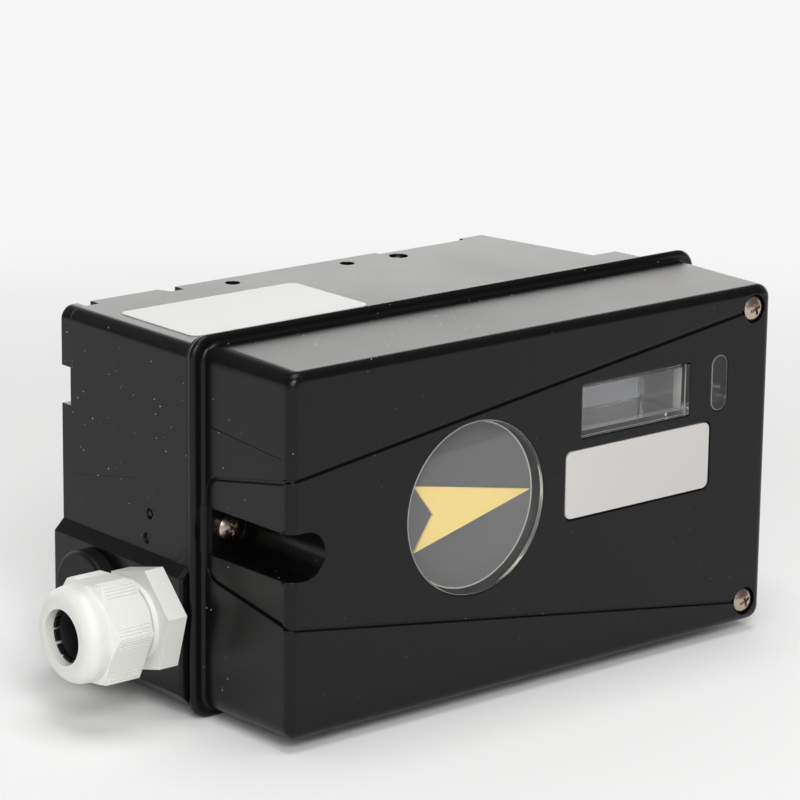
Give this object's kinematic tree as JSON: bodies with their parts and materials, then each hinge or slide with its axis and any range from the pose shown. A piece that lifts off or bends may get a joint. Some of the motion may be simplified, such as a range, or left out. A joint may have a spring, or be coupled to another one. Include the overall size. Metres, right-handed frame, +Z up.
{
  "type": "valve positioner",
  "caption": "Box-shaped digital valve positioner with a round arrow window, a display window, a cable gland and a feedback spindle at the rear.",
  "frame": {"origin": "on the spindle axis, in the plane of the rear mounting pad", "axes": "+X to the right seen from the front, +Y to the rear along the spindle, +Z up"},
  "size_m": [0.1986, 0.1067, 0.098],
  "materials": {
    "painted_black": "satin black powder coat on die-cast aluminium",
    "clear_plastic": "clear moulded polycarbonate",
    "plate": "matt silver printed sheet, bare",
    "stainless": "turned stainless steel",
    "rubber": "moulded black rubber",
    "bronze": "sintered bronze",
    "steel": "ground steel",
    "spring_steel": "phosphated spring steel",
    "gear_plastic": "natural acetal",
    "disc_grey": "matt grey plastic",
    "arrow_yellow": "pale yellow film",
    "zinc_plated": "zinc plated sheet steel",
    "sensor_blue": "blue moulded case",
    "board_green": "green solder mask on glass laminate",
    "brass": "turned brass",
    "terminal_green": "green polyamide",
    "black_plastic": "black moulded plastic",
    "display_bezel": "pressed metal frame",
    "display_glass": "grey liquid crystal glass",
    "button_red": "dark red plastic cap",
    "aluminium": "machined aluminium",
    "gland_grey": "pale grey polyamide"
  },
  "bodies": {
    "housing": {"cover_gasket": "rubber", "housing": "painted_black", "spindle_bush": "bronze", "spindle_seal": "rubber", "sensor_bracket": "zinc_plated", "sensor_body": "sensor_blue", "sensor_nut": "zinc_plated", "bracket_screws": "stainless", "main_board": "board_green", "board_standoffs": "brass", "board_screws": "stainless", "terminal_block": "terminal_green", "inner_cover": "black_plastic", "inner_cover_screws": "stainless", "display_board": "board_green", "display_module": "display_bezel", "display_glass": "display_glass", "button_switches": "black_plastic", "relay_gasket": "rubber", "relay_block": "aluminium", "relay_end_caps": "black_plastic", "relay_screws": "stainless", "pilot_valve": "black_plastic", "gland_body": "gland_grey", "gland_washer": "rubber", "gland_seal": "rubber", "gland_clamp": "black_plastic", "gland_nut": "gland_grey", "blanking_plug": "black_plastic", "plug_washer": "rubber", "earth_screw": "stainless"},
    "cover": {"front_cover": "painted_black", "indicator_window": "clear_plastic", "display_window": "clear_plastic", "lamp_window": "clear_plastic", "name_plate": "plate", "cover_screws": "stainless"},
    "spindle": {"spindle": "steel", "spindle_clip": "spring_steel", "spindle_gear": "gear_plastic", "arrow_disc": "disc_grey", "arrow": "arrow_yellow"},
    "sensor_shaft": {"sensor_gear": "gear_plastic"},
    "spool": {"relay_spool": "steel"},
    "button_escape": {"button_escape": "button_red"},
    "button_down": {"button_down": "button_red"},
    "button_menu": {"button_menu": "button_red"},
    "button_up": {"button_up": "button_red"},
    "button_enter": {"button_enter": "button_red"}
  },
  "joints": [
    {"name": "cover_lift", "type": "slide", "parent": "housing", "child": "cover", "axis": [0, -1, 0], "range_m": [0, 0.06]},
    {"name": "spindle_turn", "type": "hinge", "parent": "housing", "child": "spindle", "pos_m": [0, 0, 0], "axis": [0, -1, 0], "range_deg": [-5, 95]},
    {"name": "sensor_turn", "type": "hinge", "parent": "housing", "child": "sensor_shaft", "pos_m": [-0.024, 0, 0], "axis": [0, -1, 0], "range_deg": [-191, 11]},
    {"name": "spool_slide", "type": "slide", "parent": "housing", "child": "spool", "axis": [0, 0, 1], "range_m": [-0.0015, 0.0015], "stiffness_N_per_m": 1500},
    {"name": "escape_press", "type": "slide", "parent": "housing", "child": "button_escape", "axis": [0, 1, 0], "range_m": [0, 0.0005], "stiffness_N_per_m": 500, "springref_m": -0.0005},
    {"name": "down_press", "type": "slide", "parent": "housing", "child": "button_down", "axis": [0, 1, 0], "range_m": [0, 0.0005], "stiffness_N_per_m": 500, "springref_m": -0.0005},
    {"name": "menu_press", "type": "slide", "parent": "housing", "child": "button_menu", "axis": [0, 1, 0], "range_m": [0, 0.0005], "stiffness_N_per_m": 500, "springref_m": -0.0005},
    {"name": "up_press", "type": "slide", "parent": "housing", "child": "button_up", "axis": [0, 1, 0], "range_m": [0, 0.0005], "stiffness_N_per_m": 500, "springref_m": -0.0005},
    {"name": "enter_press", "type": "slide", "parent": "housing", "child": "button_enter", "axis": [0, 1, 0], "range_m": [0, 0.0005], "stiffness_N_per_m": 500, "springref_m": -0.0005}
  ],
  "couplings": [
    {"joint": "sensor_turn", "follows": "spindle_turn", "ratio": -2}
  ]
}
